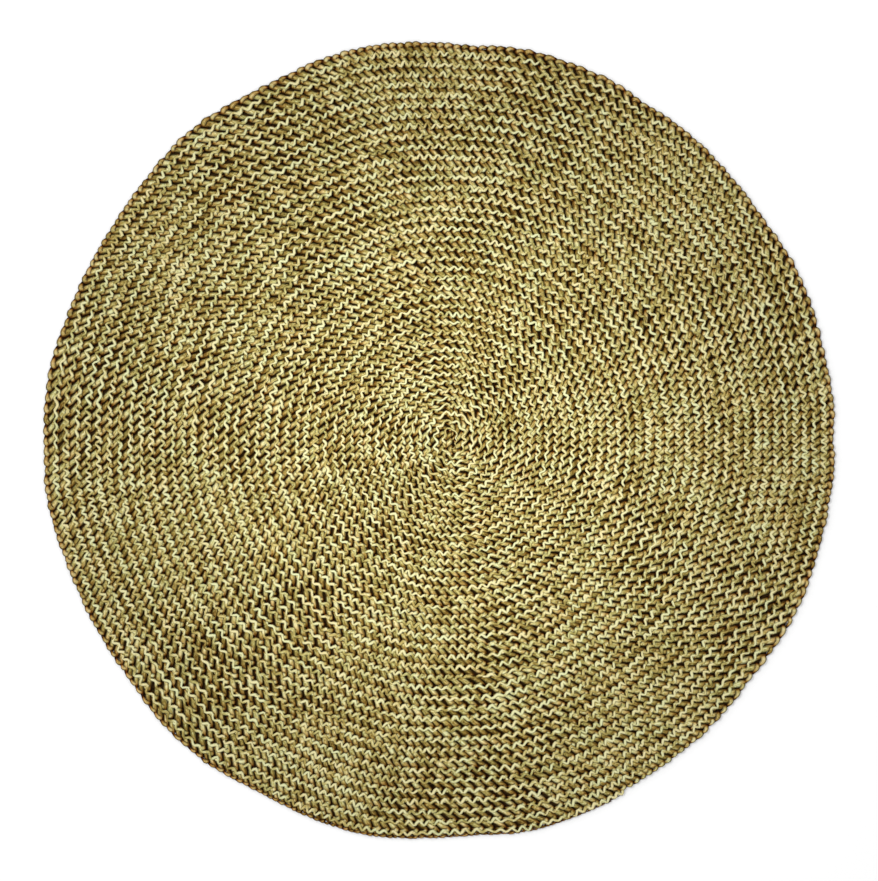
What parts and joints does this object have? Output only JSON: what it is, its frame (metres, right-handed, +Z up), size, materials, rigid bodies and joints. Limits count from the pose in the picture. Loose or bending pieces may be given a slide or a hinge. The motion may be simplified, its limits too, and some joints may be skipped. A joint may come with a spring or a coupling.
{
  "type": "round grass rug",
  "caption": "Flat round floor rug of plaited grass, wound in a spiral from near its middle and sewn row to row, with a slightly uneven, scalloped rim.",
  "frame": {"origin": "under the middle of the rug's box, on the face that lies on the floor", "axes": "+Z up out of the floor through the rug; +X towards the side of the rim that is nearest to the start of the winding; +Y across the rug, at a right angle to +X"},
  "size_m": [1.7996, 1.813, 0.012],
  "materials": {
    "plaited_grass": "dry plaited grass, pale straw to olive and golden brown, dull with a faint sheen on the blades"
  },
  "bodies": {
    "root": {"coiled_plait": "plaited_grass"}
  },
  "joints": []
}
